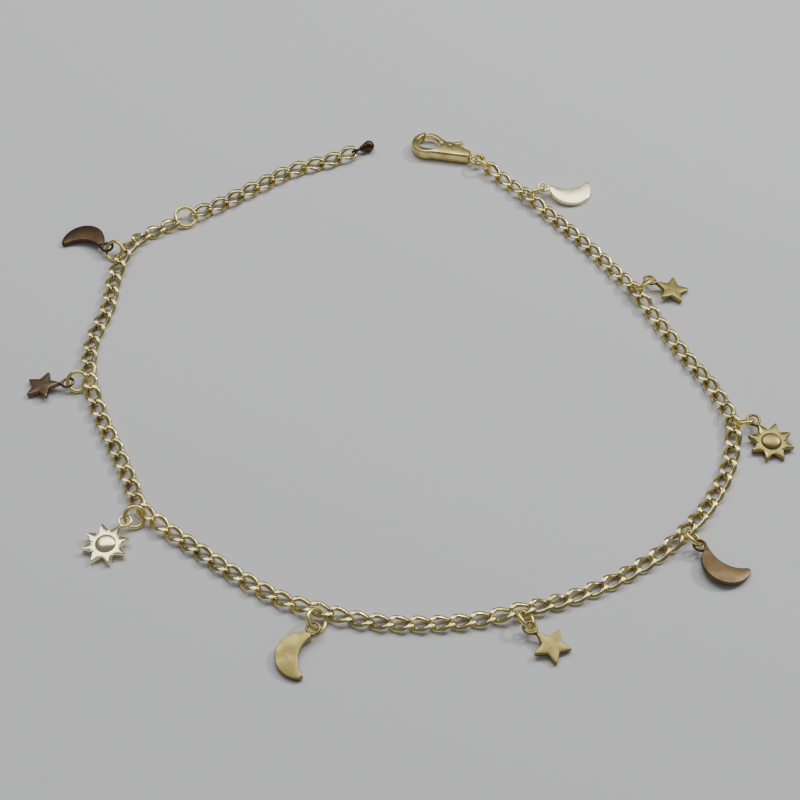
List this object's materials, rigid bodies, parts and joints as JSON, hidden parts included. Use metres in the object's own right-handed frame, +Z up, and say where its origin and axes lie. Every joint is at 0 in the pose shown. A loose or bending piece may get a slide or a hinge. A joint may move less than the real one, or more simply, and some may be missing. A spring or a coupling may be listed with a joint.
{
  "type": "charm anklet",
  "caption": "Gold-coloured curb chain anklet lying open, with stamped moon, star and sun charms, a lobster clasp and an extender chain.",
  "frame": {"origin": "middle of the lying anklet, on the surface it rests on", "axes": "+Z up from the surface; +Y from the front of the loop towards the open side with the clasp and the extender; +X to the right when looking along +Y"},
  "size_m": [0.1066, 0.1032, 0.0026],
  "materials": {
    "chain_gold": "polished gold-coloured plating",
    "ring_gold": "polished gold-coloured plating",
    "charm_gold": "satin gold-coloured plating",
    "clasp_gold": "polished gold-coloured plating"
  },
  "bodies": {
    "anklet": {"main_chain_right": "chain_gold", "main_chain_left": "chain_gold", "extender_chain": "chain_gold", "clasp_ring": "ring_gold", "joining_ring": "ring_gold", "charm_ring_1": "ring_gold", "charm_ring_2": "ring_gold", "charm_ring_3": "ring_gold", "charm_ring_4": "ring_gold", "charm_ring_5": "ring_gold", "charm_ring_6": "ring_gold", "charm_ring_7": "ring_gold", "charm_ring_8": "ring_gold", "charm_ring_9": "ring_gold", "moon_charm_1": "charm_gold", "star_charm_1": "charm_gold", "sun_charm_1": "charm_gold", "moon_charm_2": "charm_gold", "star_charm_2": "charm_gold", "moon_charm_3": "charm_gold", "sun_charm_2": "charm_gold", "star_charm_3": "charm_gold", "moon_charm_4": "charm_gold", "clasp_body": "clasp_gold", "end_drop": "clasp_gold"},
    "lever": {"clasp_lever": "clasp_gold"}
  },
  "joints": [
    {"name": "lever_hinge", "type": "hinge", "parent": "anklet", "child": "lever", "pos_m": [0.00727, 0.04825, 0.0009], "axis": [0, 0, 1], "range_deg": [0, 24], "stiffness_Nm_per_rad": 0.002, "springref_deg": -20.05}
  ]
}
